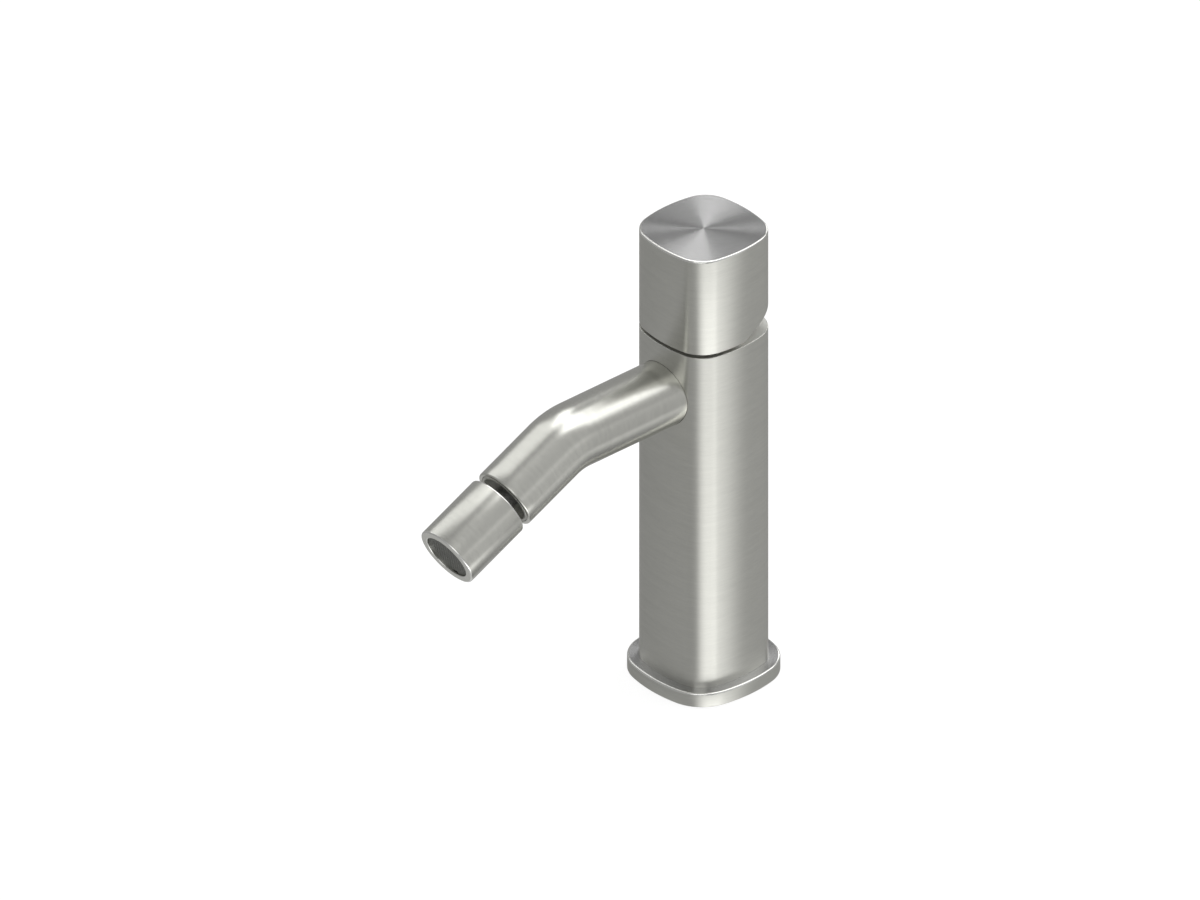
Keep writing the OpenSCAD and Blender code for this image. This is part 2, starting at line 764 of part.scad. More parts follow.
module knob_grub_screw() {
    color("slategray") translate([0, grub_y, grub_z]) rotate([-90, 0, 0]) difference() {
        cylinder(r = grub_r, h = grub_l);
        translate([0, 0, grub_l - grub_key_depth])
            cylinder(r = grub_key_r, h = grub_key_depth + over, $fn = 6);
    }
}

// Flow slider
module disc_carrier() {
    color("whitesmoke") difference() {
        union() {
            translate([0, 0, carrier_z]) linear_extrude(carrier_h) slider_outline();
            rod(collar_r, collar_z - over, collar_top);
        }
        rod(collar_bore_r, collar_z - foot_gap, collar_top + over);
    }
}

module moving_disc() {
    cavity_top = moving_disc_z + cavity_depth;
    color("white") difference() {
        translate([0, 0, moving_disc_z]) linear_extrude(moving_disc_h) slider_outline();
        for (y = [cavity_y, cavity_y + cavity_l]) translate([0, y, 0])
            rod(cavity_r, moving_disc_z - over, cavity_top);
        translate([-cavity_r, cavity_y, moving_disc_z - over])
            cube([2 * cavity_r, cavity_l, cavity_depth + over]);
    }
}

// Nozzle swivel
module ball_stem() {
    inner_end = clip_w - stem_end;
    color("slategray") along_outlet() difference() {
        union() {
            rod(journal_r, inner_end, floor_w + over);
            rod(stem_flange_r, floor_w + run_gap, floor_w + stem_flange_h);
            rod(ball_neck_r, floor_w, ball_w);
            intersection() {
                translate([0, 0, ball_w]) sphere(ball_r);
                rod(ball_r + over, ball_w - ball_r, ball_w + ball_cut);
            }
        }
        rod(ball_bore_r, inner_end - over, ball_w + ball_r);
        translate([0, 0, clip_w]) ring(journal_r + over, journal_r - clip_depth, clip_h);
        translate([0, 0, stem_seal_w - stem_seal_r])
            ring(journal_r + over, journal_r - 2 * stem_seal_r, 2 * stem_seal_r);
    }
}

module stem_clip() {
    color("slategray") along_outlet() translate([0, 0, clip_w]) difference() {
        ring(stem_flange_r, journal_r - clip_depth, clip_h);
        translate([-clip_gap / 2, 0, -over]) cube([clip_gap, 2 * journal_r, clip_h + 2 * over]);
    }
}

module stem_o_ring() {
    section_r = stem_seal_r - seal_gap / 2;
    color("dimgray") along_outlet() translate([0, 0, stem_seal_w])
        o_ring(journal_r + run_gap - seal_gap - section_r, section_r);
}

// Nozzle body, measured down from the nozzle's top
module nozzle_housing() {
    color("silver") in_nozzle() difference() {
        rotate_extrude() polygon([
            [0, 0], [spout_r - edge_chamfer, 0], [spout_r, edge_chamfer],
            [spout_r, nozzle_l - rim_round], [spout_r - rim_round, nozzle_l], [0, nozzle_l]
        ]);
        rod(lip_r, -over, lip_h + over);
        rod(nozzle_bore_r, lip_h, nozzle_l + over);
        rod(outlet_r, aerator_top, nozzle_l + over);
        translate([0, 0, nozzle_l - rim_round / 2])
            cylinder(r1 = outlet_r, r2 = outlet_r + rim_round, h = rim_round);
    }
}

module ball_seat() {
    color("whitesmoke") in_nozzle() difference() {
        rod(seat_r, lip_h, seat_end);
        translate([0, 0, ball_drop]) sphere(seat_ball_r);
        rod(lip_r, lip_h - over, ball_drop);
        rod(seat_ball_r, ball_drop, seat_end + over);
    }
}

module ball_seal() {
    reach = ball_r + ball_seal_r + seal_gap;
    color("dimgray") in_nozzle() translate([0, 0, ball_drop + ball_seal_drop])
        o_ring(sqrt(reach * reach - ball_seal_drop * ball_seal_drop), ball_seal_r);
}

module seal_seat() {
    color("whitesmoke") in_nozzle() difference() {
        rod(seat_r, seal_seat_z, seat_nut_z);
        translate([0, 0, ball_drop]) sphere(seat_ball_r);
        rod(seal_seat_bore, seal_seat_z - over, seat_nut_z + over);
    }
}

module seat_nut() {
    slot_depth = seat_nut_h / 3;
    color("goldenrod") in_nozzle() translate([0, 0, seat_nut_z]) difference() {
        ring(seat_r, seat_nut_bore, seat_nut_h);
        translate([-seat_r, -seat_nut_slot / 2, seat_nut_h - slot_depth])
            cube([2 * seat_r, seat_nut_slot, slot_depth + over]);
    }
}

module aerator_gasket() {
    color("dimgray") in_nozzle() translate([0, 0, aerator_top])
        ring(aerator_r, aerator_r - top_gasket_w, top_gasket_h);
}

module aerator_housing() {
    color("dimgray") in_nozzle() difference() {
        rod(aerator_r, casing_z, aerator_end);
        rod(aerator_bore_r - aerator_lip_w, casing_z - over, regulator_z + over);
        rod(aerator_bore_r, regulator_z, aerator_end + over);
        for (a = [90, 270]) rotate([0, 0, a])
            translate([aerator_bore_r - over, -notch_w / 2, aerator_end - notch_depth])
                cube([aerator_wall + 2 * over, notch_w, notch_depth + over]);
    }
}

module flow_regulator() {
    color("gainsboro") in_nozzle() difference() {
        rod(aerator_fill_r, regulator_z, screens_z);
        for (i = [0:regulator_ports - 1]) rotate([0, 0, i * 360 / regulator_ports])
            translate([regulator_port_y, 0, 0])
                rod(regulator_port_r, regulator_z - over, screens_z + over);
    }
}

// A disc with slots across it, one side to the other inside its rim
module screen() {
    inner_r = aerator_fill_r - screen_rim;
    pitch = (2 * inner_r) / screen_slots;
    difference() {
        rod(aerator_fill_r, 0, screen_h);
        for (i = [0:screen_slots - 1])
            let (x = (i - (screen_slots - 1) / 2) * pitch, l = sqrt(inner_r * inner_r - x * x))
                translate([x - screen_slot_w / 2, -l, -over])
                    cube([screen_slot_w, 2 * l, screen_h + 2 * over]);
    }
}

// The two screens cross each other
module aerator_screens() {
    color("silver") in_nozzle() for (i = [0:1])
        translate([0, 0, screens_z + i * (screen_h + screen_gap)]) rotate([0, 0, 90 * i]) screen();
}

module aerator_grille() {
    z = aerator_end - grille_h;
    color("dimgray") in_nozzle() difference() {
        rod(aerator_fill_r, z, aerator_end);
        rod(hole_r, z - over, aerator_end + over);
        for (row = [1:grille_rows]) for (i = [0:6 * row - 1])
            rotate([0, 0, i * 60 / row]) translate([row * hole_pitch, 0, 0])
                rod(hole_r, z - over, aerator_end + over);
    }
}

base_flange();
flange_gasket();
column_shell();
valve_core();
cover_ring();
spout_nipple();
nipple_o_ring();
spout_tube();
nozzle_socket();
cartridge_base();
inlet_seals();
disc_seals();
fixed_disc();
cartridge_housing();
cartridge_o_ring();
cartridge_nut();
cartridge_rotor();
pivot_pin();
control_stem();
knob();
knob_insert();
knob_grub_screw();
disc_carrier();
moving_disc();
ball_stem();
stem_clip();
stem_o_ring();
nozzle_housing();
ball_seat();
ball_seal();
seal_seat();
seat_nut();
aerator_gasket();
flow_regulator();
aerator_screens();
aerator_housing();
aerator_grille();
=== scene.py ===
import json
import math

import bmesh
import bpy
from mathutils import Matrix, Vector


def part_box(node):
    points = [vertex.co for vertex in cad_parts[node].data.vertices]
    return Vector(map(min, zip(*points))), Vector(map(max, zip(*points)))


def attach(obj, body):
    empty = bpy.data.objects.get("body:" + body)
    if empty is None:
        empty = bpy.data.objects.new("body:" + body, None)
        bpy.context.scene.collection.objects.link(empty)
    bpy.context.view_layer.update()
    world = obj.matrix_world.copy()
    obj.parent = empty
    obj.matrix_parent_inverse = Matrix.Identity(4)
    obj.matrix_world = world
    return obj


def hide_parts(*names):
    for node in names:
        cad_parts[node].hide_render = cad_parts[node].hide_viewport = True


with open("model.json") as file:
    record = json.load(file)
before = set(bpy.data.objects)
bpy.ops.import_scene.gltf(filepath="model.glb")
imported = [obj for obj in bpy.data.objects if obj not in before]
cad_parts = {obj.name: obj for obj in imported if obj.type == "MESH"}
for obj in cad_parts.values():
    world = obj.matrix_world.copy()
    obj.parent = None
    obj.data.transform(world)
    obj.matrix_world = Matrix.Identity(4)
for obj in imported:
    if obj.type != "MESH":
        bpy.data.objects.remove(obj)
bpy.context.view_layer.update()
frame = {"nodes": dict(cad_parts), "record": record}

# Sizes are in metres. The main ones come from the frame, and the rest repeat the model's driving
# dimensions, apart from NOZZLE_L: the sleeve ends 0.1 mm short of its solid.
MM = 0.001

# Column, flange and knob. HEEL_Y and HEEL_ANGLE set the slanted cut low at the knob's back.
HALF_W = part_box("column_shell")[1].x
COLUMN_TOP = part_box("column_shell")[1].z
FLANGE_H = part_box("base_flange")[1].z
FLANGE_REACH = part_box("base_flange")[1].x - HALF_W
KNOB_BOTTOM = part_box("knob")[0].z
KNOB_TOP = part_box("knob")[1].z
LEDGE_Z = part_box("valve_core")[0].z
INSERT_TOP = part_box("knob_insert")[1].z
GRUB_Z = (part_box("knob_grub_screw")[0].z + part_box("knob_grub_screw")[1].z) / 2
SIDE_R = 49 * MM
CORNER_R = 11.2 * MM
BORE_R = 17 * MM
SHANK_R = 15.5 * MM
KNOB_CAVITY_R = 15 * MM
GRUB_HOLE_R = 2.15 * MM
HEEL_ANGLE = math.radians(27.6)
HEEL_Y = 0.8 * MM
GROOVE_INNER_R = 17.75 * MM
GROOVE_OUTER_R = 20.85 * MM
GROOVE_DEPTH = 1.5 * MM

# Spout. SPOUT_ROOT and BEND_Y are how far its start and the bend's corner are from the column's
# axis, and OUTLET_L is how far the outlet goes on from that corner.
SPOUT_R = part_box("nozzle_housing")[1].x
SPOUT_BORE_R = SPOUT_R - 1.5 * MM
SPOUT_Z = COLUMN_TOP - 19.7 * MM
SPOUT_ROOT = 17 * MM
SPOUT_FIT = 0.1 * MM
BEND_Y = 65.7 * MM
BEND_ANGLE = math.radians(25)
BEND_R = 24 * MM
OUTLET_L = 30.4 * MM

# Socket ring inside the spout's end
SOCKET_DEPTH = 7 * MM
SOCKET_FLOOR = 3 * MM
SOCKET_WALL = 1.05 * MM
JOURNAL_R = 5.05 * MM

# Nozzle. GRILLE_END is measured from its start, and OUTLET_DEPTH from its end.
NOZZLE_START = OUTLET_L + 3.1 * MM
NOZZLE_L = 26.7 * MM
NOZZLE_BORE_R = 8.8 * MM
LIP_H = 1.8 * MM
LIP_R = 6.2 * MM
OUTLET_BORE_R = 9.1 * MM
OUTLET_DEPTH = 9.2 * MM
GRILLE_END = 25.9 * MM
GRILLE_H = 1.2 * MM
GRILLE_R = 8.0 * MM
HOLE_FIELD_R = 7.2 * MM
HOLE_PITCH = 0.9 * MM
HOLE_R = 0.22 * MM

# Rounding of the edges that catch the light
TOP_EDGE = 0.7 * MM
SMALL_EDGE = 0.25 * MM
RIM_EDGE = 0.6 * MM
SOCKET_EDGE = 0.45 * MM

# Fineness of the meshes, and how far a cutting tool reaches past what it cuts
SIDE_STEPS = 40
CORNER_STEPS = 28
EDGE_STEPS = 5
ROUND_STEPS = 128
HOLE_STEPS = 8
ROOT_STEPS = 8
BEND_STEPS = 16
OUTLET_STEPS = 6
OVER = 2 * MM

# The upward part of a face's normal tells how it lies. FLAT_END asks for more than LEVEL, because
# the top of a tube has nearly level faces.
SLANTED = 0.01
LEVEL = 0.999
FLAT_END = 0.9999

# Shading breaks at edges that turn by this much, or round a flat end
SHARP_TURN = math.radians(32)
END_TURN = math.radians(1)


# Meshes
def new_piece(name, bm, materials):
    """An object in the scene with the finished mesh."""
    mesh = bpy.data.meshes.new(name)
    bm.to_mesh(mesh)
    bm.free()
    for material in materials:
        mesh.materials.append(material)
    piece = bpy.data.objects.new(name, mesh)
    bpy.context.scene.collection.objects.link(piece)
    return piece


def shade(piece):
    """Smooth shading, broken at sharp edges and round the flat ends."""
    mesh = piece.data
    bm = bmesh.new()
    bm.from_mesh(mesh)
    for face in bm.faces:
        face.smooth = True
    for edge in bm.edges:
        at_end = any(abs(face.normal.z) > FLAT_END for face in edge.link_faces)
        edge.smooth = edge.calc_face_angle() < (END_TURN if at_end else SHARP_TURN)
    bm.to_mesh(mesh)
    bm.free()
    return piece


def outline(grow):
    """The bulged square, grown on all sides: four shallow side arcs joined by four corner arcs."""
    half, side, corner = HALF_W + grow, SIDE_R + grow, CORNER_R + grow
    behind = side - half
    apart = side - corner
    centre = (math.sqrt(2 * apart * apart - behind * behind) - behind) / 2
    meet = math.atan2(centre, centre + behind)
    arcs = []
    for i in range(SIDE_STEPS):
        a = meet * (2 * i / SIDE_STEPS - 1)
        arcs.append(Vector((side * math.cos(a) - behind, side * math.sin(a))))
    for i in range(CORNER_STEPS):
        a = meet + (math.pi / 2 - 2 * meet) * i / CORNER_STEPS
        arcs.append(Vector((centre + corner * math.cos(a), centre + corner * math.sin(a))))
    points = []
    for quarter in range(4):
        turn = Matrix.Rotation(quarter * math.pi / 2, 2)
        points += [turn @ p for p in arcs]
    return points


def edge_steps(radius):
    """Insets and drops of a rounded edge, from the side face to the end face."""
    if radius == 0:
        return [(0, 0)]
    turns = [math.pi / 2 * i / EDGE_STEPS for i in range(EDGE_STEPS + 1)]
    return [(radius * (1 - math.cos(a)), radius * (1 - math.sin(a))) for a in turns]


def block(name, bottom, top, grow=0.0, top_edge=TOP_EDGE, bottom_edge=SMALL_EDGE, materials=()):
    """A solid of the bulged outline with rounded upper and lower edges."""
    levels = [(grow - inset, bottom + drop) for inset, drop in edge_steps(bottom_edge)][::-1]
    levels += [(grow - inset, top - drop) for inset, drop in edge_steps(top_edge)]
    bm = bmesh.new()
    rings = [[bm.verts.new((*p, z)) for p in outline(g)] for g, z in levels]
    n = len(rings[0])
    for low, high in zip(rings, rings[1:]):
        for i in range(n):
            bm.faces.new((low[i], low[(i + 1) % n], high[(i + 1) % n], high[i]))
    bm.faces.new(rings[0][::-1])
    bm.faces.new(rings[-1])
    return new_piece(name, bm, materials)


def ring_solid(name, profile, materials=()):
    """A closed profile of (radius, height) points turned round the local Z axis."""
    bm = bmesh.new()
    rings = []
    for i in range(ROUND_STEPS):
        a = 2 * math.pi * i / ROUND_STEPS
        rings.append([bm.verts.new((r * math.cos(a), r * math.sin(a), z)) for r, z in profile])
    n = len(profile)
    for i in range(ROUND_STEPS):
        here, there = rings[i], rings[(i + 1) % ROUND_STEPS]
        for j in range(n):
            bm.faces.new((here[j], there[j], there[(j + 1) % n], here[(j + 1) % n]))
    bmesh.ops.recalc_face_normals(bm, faces=bm.faces)
    return new_piece(name, bm, materials)


def rod(name, radius, low, high, steps=ROUND_STEPS, centres=((0, 0),), materials=()):
    """Plain cylinders along the local Z axis, one at each centre."""
    bm = bmesh.new()
    turns = [2 * math.pi * i / steps for i in range(steps)]
    for x, y in centres:
        circle = [(x + radius * math.cos(a), y + radius * math.sin(a)) for a in turns]
        bottom, top = [[bm.verts.new((*p, z)) for p in circle] for z in (low, high)]
        for i in range(steps):
            j = (i + 1) % steps
            bm.faces.new((bottom[i], bottom[j], top[j], top[i]))
        bm.faces.new(bottom[::-1])
        bm.faces.new(top)
    return new_piece(name, bm, materials)


def rounded(corners):
    """A closed profile of (radius, height) points. Its corners are (radius, height, rounding)."""
    points = []
    n = len(corners)
    for i, (r, z, rounding) in enumerate(corners):
        here = Vector((r, z))
        if rounding == 0:
            points.append(tuple(here))
            continue
        before = (Vector(corners[i - 1][:2]) - here).normalized()
        after = (Vector(corners[(i + 1) % n][:2]) - here).normalized()
        half = before.angle(after) / 2
        reach = rounding / math.tan(half)
        centre = here + (before + after).normalized() * (rounding / math.sin(half))
        start = (here + before * reach - centre).normalized()
        end = (here + after * reach - centre).normalized()
        for step in range(EDGE_STEPS + 1):
            points.append(tuple(centre + start.slerp(end, step / EDGE_STEPS) * rounding))
    return points


def cut(piece, *tools):
    """Cuts the tools out of the piece and deletes them."""
    for tool in tools:
        modifier = piece.modifiers.new("cut", "BOOLEAN")
        modifier.operation = "DIFFERENCE"
        modifier.solver = "EXACT"
        modifier.object = tool
    bpy.context.view_layer.update()
    evaluated = piece.evaluated_get(bpy.context.evaluated_depsgraph_get())
    mesh = bpy.data.meshes.new_from_object(evaluated)
    piece.modifiers.clear()
    piece.data = mesh
    for tool in tools:
        bpy.data.objects.remove(tool)
    return piece


def place(piece, matrix):
    piece.matrix_world = matrix
    return piece


def along_root():
    """Local Z runs out along the spout's root, from the column's axis."""
    return Matrix.Translation((0, 0, SPOUT_Z)) @ Matrix.Rotation(math.pi / 2, 4, "X")


def along_outlet(distance):
    """Local Z runs out along the outlet's axis, from this distance past the bend's corner."""
    corner = Matrix.Translation((0, -BEND_Y, SPOUT_Z))
    turn = Matrix.Rotation(math.pi / 2 + BEND_ANGLE, 4, "X")
    return corner @ turn @ Matrix.Translation((0, 0, distance))


# Node materials. A bump's relief is its strength, and its depth is in metres. Brush lines have
# noise cells along and across them, and a broader noise that shares in their colour.
CELLS_ALONG = 0.35 / MM
CELLS_ACROSS = 3.0 / MM
CELLS_PER_RADIAN = 7.0
BROAD_SCALE = 0.22
BROAD_SHARE = 0.4
BRUSH_RELIEF = 0.03
POLISH_RELIEF = 0.004
BRUSH_DEPTH = 0.01 * MM

# Turning marks of machined metal, with the clouds in its colour
MARK_CELLS = 2.2 / MM
MARK_RELIEF = 0.15
MARK_DEPTH = 0.02 * MM
MARK_SMOOTHER = 0.05
MARK_ROUGHER = 0.07
METAL_CLOUD_CELLS = 0.15 / MM

# Pores of moulded pieces, with the clouds in their colour
PORE_CELLS = 3.0 / MM
PORE_DEPTH = 0.03 * MM
PORE_UNEVEN = 0.06
CLOUD_CELLS = 0.3 / MM

TUBE_UV = "around_along"
QUARTER_TURN = 0.25
NO_HEIGHT = (1, 1, 0)


def add(tree, kind, inputs=None, **settings):
    """Adds a node. Its inputs are given as values or as the sockets that feed them."""
    node = tree.nodes.new(kind)
    for name, value in settings.items():
        setattr(node, name, value)
    for name, value in (inputs or {}).items():
        if isinstance(value, bpy.types.NodeSocket):
            tree.links.new(value, node.inputs[name])
        else:
            node.inputs[name].default_value = value
    return node


def new_material(name):
    material = bpy.data.materials.new(name)
    material.use_nodes = True
    tree = material.node_tree
    tree.nodes.clear()
    output = add(tree, "ShaderNodeOutputMaterial")
    return material, tree, output


def maths(tree, operation, first, second):
    return add(tree, "ShaderNodeMath", {0: first, 1: second}, operation=operation).outputs[0]


def vector_maths(tree, operation, inputs, output="Vector"):
    return add(tree, "ShaderNodeVectorMath", inputs, operation=operation).outputs[output]


def noise(tree, vector, scale, detail=3.0, roughness=0.5):
    inputs = {"Vector": vector, "Scale": scale, "Detail": detail, "Roughness": roughness}
    return add(tree, "ShaderNodeTexNoise", inputs).outputs["Fac"]


def spread(tree, value, low, high, from_low=0.3, from_high=0.7):
    """Maps a value to the range from low to high. The usual range is most of a noise's."""
    inputs = {"Value": value, "From Min": from_low, "From Max": from_high,
              "To Min": low, "To Max": high}
    return add(tree, "ShaderNodeMapRange", inputs).outputs["Result"]


def tinted(tree, value, dark, light):
    """A colour between the two."""
    inputs = {"Factor": value, 6: (*dark, 1), 7: (*light, 1)}
    return add(tree, "ShaderNodeMix", inputs, data_type="RGBA").outputs[2]


def mixed(tree, factor, first, second):
    """A number between the two."""
    inputs = {"Factor": factor, 2: first, 3: second}
    return add(tree, "ShaderNodeMix", inputs, data_type="FLOAT").outputs[0]


def bumped(tree, height, relief, depth):
    inputs = {"Height": height, "Strength": relief, "Distance": depth}
    return add(tree, "ShaderNodeBump", inputs).outputs[0]


def brush_lines(tree, way):
    """A vector whose noise is drawn out along the brush lines.

    They run round the local Z axis, on the side (round) or on a flat face (rings), or round a
    bent tube by its UV map (tube).
    """
    if way == "tube":
        uv = add(tree, "ShaderNodeUVMap", uv_map=TUBE_UV).outputs["UV"]
        return vector_maths(tree, "MULTIPLY", {0: uv, 1: (CELLS_ALONG, CELLS_ACROSS, 1)})
    spot = add(tree, "ShaderNodeTexCoord").outputs["Object"]
    height = add(tree, "ShaderNodeSeparateXYZ", {0: spot}).outputs["Z"]
    flat = vector_maths(tree, "MULTIPLY", {0: spot, 1: NO_HEIGHT})
    radius = vector_maths(tree, "LENGTH", {0: flat}, "Value")
    heading = vector_maths(tree, "NORMALIZE", {0: flat})
    fine = maths(tree, "MULTIPLY", radius if way == "rings" else height, CELLS_ACROSS)
    turn = vector_maths(tree, "SCALE", {0: heading, "Scale": CELLS_PER_RADIAN})
    lift = add(tree, "ShaderNodeCombineXYZ", {"Z": fine}).outputs[0]
    return vector_maths(tree, "ADD", {0: turn, 1: lift})


def brushed_steel(name, way, dark, light, roughness, uneven, relief, anisotropy=0.0):
    """Brushed stainless steel, with fine lines in its colour, gloss and relief.

    Anisotropy draws the gloss out across the lines.
    """
    material, tree, output = new_material(name)
    lines = brush_lines(tree, way)
    fine = noise(tree, lines, scale=1.0, detail=4.0, roughness=0.6)
    broad = noise(tree, lines, BROAD_SCALE, detail=2.0)
    both = mixed(tree, BROAD_SHARE, fine, broad)
    if way == "tube":
        tangent = add(tree, "ShaderNodeTangent", direction_type="UV_MAP", uv_map=TUBE_UV)
    else:
        tangent = add(tree, "ShaderNodeTangent", direction_type="RADIAL", axis="Z")
    normal = bumped(tree, fine, relief, BRUSH_DEPTH)
    shader = add(tree, "ShaderNodeBsdfPrincipled", {
        "Base Color": tinted(tree, spread(tree, both, 0, 1), dark, light),
        "Metallic": 1.0,
        "Roughness": spread(tree, fine, roughness - uneven, roughness + uneven),
        "Anisotropic": anisotropy,
        "Anisotropic Rotation": QUARTER_TURN,
        "Normal": normal,
        "Tangent": tangent.outputs[0],
    })
    tree.links.new(shader.outputs[0], output.inputs[0])
    return material


def turned_metal(name, dark, light, roughness):
    """Machined metal with fine turning marks."""
    material, tree, output = new_material(name)
    spot = add(tree, "ShaderNodeTexCoord").outputs["Object"]
    marks = noise(tree, spot, MARK_CELLS, detail=4.0)
    cloud = noise(tree, spot, METAL_CLOUD_CELLS)
    normal = bumped(tree, marks, MARK_RELIEF, MARK_DEPTH)
    shader = add(tree, "ShaderNodeBsdfPrincipled", {
        "Base Color": tinted(tree, spread(tree, cloud, 0, 1), dark, light),
        "Metallic": 1.0,
        "Roughness": spread(tree, marks, roughness - MARK_SMOOTHER, roughness + MARK_ROUGHER),
        "Normal": normal,
    })
    tree.links.new(shader.outputs[0], output.inputs[0])
    return material


def moulded(name, dark, light, roughness, relief):
    """Plastic, rubber or ceramic: a slightly uneven colour and a fine grain."""
    material, tree, output = new_material(name)
    spot = add(tree, "ShaderNodeTexCoord").outputs["Object"]
    pores = noise(tree, spot, PORE_CELLS, detail=5.0)
    cloud = noise(tree, spot, CLOUD_CELLS)
    normal = bumped(tree, pores, relief, PORE_DEPTH)
    shader = add(tree, "ShaderNodeBsdfPrincipled", {
        "Base Color": tinted(tree, spread(tree, cloud, 0, 1), dark, light),
        "Roughness": spread(tree, pores, roughness - PORE_UNEVEN, roughness + PORE_UNEVEN),
        "Normal": normal,
    })
    tree.links.new(shader.outputs[0], output.inputs[0])
    return material


# The steels: way of the lines, darker and lighter colour, roughness, how uneven it is, and relief
STEEL = (0.58, 0.58, 0.54), (0.66, 0.66, 0.615)
# Darker than the steel: painted shade on the flat tops of the knob and flange.
SPUN_SHADED = (0.49, 0.49, 0.487), (0.54, 0.54, 0.537)
# Lighter than the steel: a painted highlight on the rounded edges of the flange, knob and nozzle.
PAINTED_HIGHLIGHT = (0.78, 0.78, 0.75), (0.84, 0.84, 0.81)
# Lighter than the steel as well: painted sheen on the column's top and the socket ring.
SATIN_LIGHTENED = STEEL[1], PAINTED_HIGHLIGHT[0]
side_steel = brushed_steel("brushed_side", "round", *STEEL, 0.36, 0.03, BRUSH_RELIEF,
                           anisotropy=0.8)
# The spun tops' darker colour is painted shade.
spun_shaded_steel = brushed_steel("spun_top_painted_shade", "rings", *SPUN_SHADED, 0.26, 0.008, POLISH_RELIEF, anisotropy=1.0)
# The satin steel's lighter colour is painted sheen.
satin_painted_sheen_steel = brushed_steel("satin_painted_sheen_steel", "rings", *SATIN_LIGHTENED, 0.5, 0.03, BRUSH_RELIEF)
tube_steel = brushed_steel("brushed_tube", "tube", *STEEL, 0.26, 0.008, POLISH_RELIEF)
nozzle_steel = brushed_steel("brushed_nozzle", "round", *STEEL, 0.26, 0.008, POLISH_RELIEF)
# The edges are polished, and their lighter colour is a painted highlight on top of that gloss.
edge_highlight_steel = brushed_steel("polished_edge_painted_highlight", "round", *PAINTED_HIGHLIGHT, 0.2, 0.01, POLISH_RELIEF)

# The record's slots: darker and lighter colour, roughness, and the relief of moulded pieces
by_slot = {
    "brushed_steel": side_steel,
    "bright_steel": turned_metal("bright_steel", (0.42, 0.42, 0.42), (0.56, 0.56, 0.56), 0.3),
    "brass": turned_metal("brass", (0.62, 0.45, 0.2), (0.74, 0.56, 0.28), 0.32),
    "plastic": moulded("pale_plastic", (0.62, 0.62, 0.59), (0.74, 0.74, 0.71), 0.45, 0.2),
    "dark_plastic": moulded("dark_plastic", (0.08, 0.082, 0.07), (0.108, 0.11, 0.095), 0.45, 0.2),
    "ceramic": moulded("ceramic", (0.78, 0.77, 0.73), (0.85, 0.84, 0.8), 0.2, 0.05),
    "rubber": moulded("rubber", (0.02, 0.02, 0.02), (0.04, 0.04, 0.04), 0.6, 0.35),
}
for part in frame["record"]["subparts"]:
    node = frame["nodes"][part["node"]]
    node.data.materials.clear()
    node.data.materials.append(by_slot[part["material_slot"]])


# Column, flange and knob. Their materials are for the side, the flat top and the edge round it.
TOP_INDEX = 1
EDGE_INDEX = 2


def finish_faces(piece):
    """Gives the flat top and its edge their materials, and shades the piece."""
    for face in piece.data.polygons:
        if face.normal.z > LEVEL:
            face.material_index = TOP_INDEX
        elif face.normal.z > SLANTED:
            face.material_index = EDGE_INDEX
    return shade(piece)


def make_column():
    """The column, open inside, with the spout's hole in its front."""
    column = block("column", FLANGE_H, COLUMN_TOP, top_edge=SMALL_EDGE, bottom_edge=0,
                   materials=(side_steel, satin_painted_sheen_steel, side_steel))
    shank = rod("shank", SHANK_R, FLANGE_H - OVER, LEDGE_Z + OVER)
    bore = rod("bore", BORE_R, LEDGE_Z, COLUMN_TOP + OVER)
    spout_hole = rod("spout_hole", SPOUT_R + SPOUT_FIT, BORE_R - OVER, HALF_W + OVER)
    place(spout_hole, along_root())
    cut(column, shank, bore, spout_hole)
    return finish_faces(column)


def make_flange():
    """The flange, with its opening and the gasket's groove below."""
    flange = block("flange", 0, FLANGE_H, grow=FLANGE_REACH,
                   materials=(side_steel, spun_shaded_steel, edge_highlight_steel))
    groove = ring_solid("groove", [(GROOVE_INNER_R, -OVER), (GROOVE_OUTER_R, -OVER),
                                   (GROOVE_OUTER_R, GROOVE_DEPTH), (GROOVE_INNER_R, GROOVE_DEPTH)])
    cut(flange, rod("opening", SHANK_R, -OVER, FLANGE_H + OVER), groove)
    return finish_faces(flange)


def make_knob():
    """The hollow cap, cut slantwise low at its back, with the grub screw's hole."""
    knob = block("knob_cap", KNOB_BOTTOM, KNOB_TOP, materials=(side_steel, spun_shaded_steel, edge_highlight_steel))
    heel = Matrix.Translation((0, HEEL_Y, KNOB_BOTTOM)) @ Matrix.Rotation(HEEL_ANGLE, 4, "X")
    wedge = place(block("wedge", -2 * HALF_W, 0, grow=HALF_W), heel)
    backward = Matrix.Translation((0, 0, GRUB_Z)) @ Matrix.Rotation(-math.pi / 2, 4, "X")
    grub_hole = place(rod("grub_hole", GRUB_HOLE_R, 0, HALF_W + OVER), backward)
    cut(knob, rod("cavity", KNOB_CAVITY_R, KNOB_BOTTOM - OVER, INSERT_TOP), wedge, grub_hole)
    return finish_faces(knob)


# Spout. A station is a point on its axis with the slope there: (y, z, slope).
def further(station, distance):
    """The station this far on, along its own slope."""
    y, z, slope = station
    return y - distance * math.cos(slope), z - distance * math.sin(slope), slope


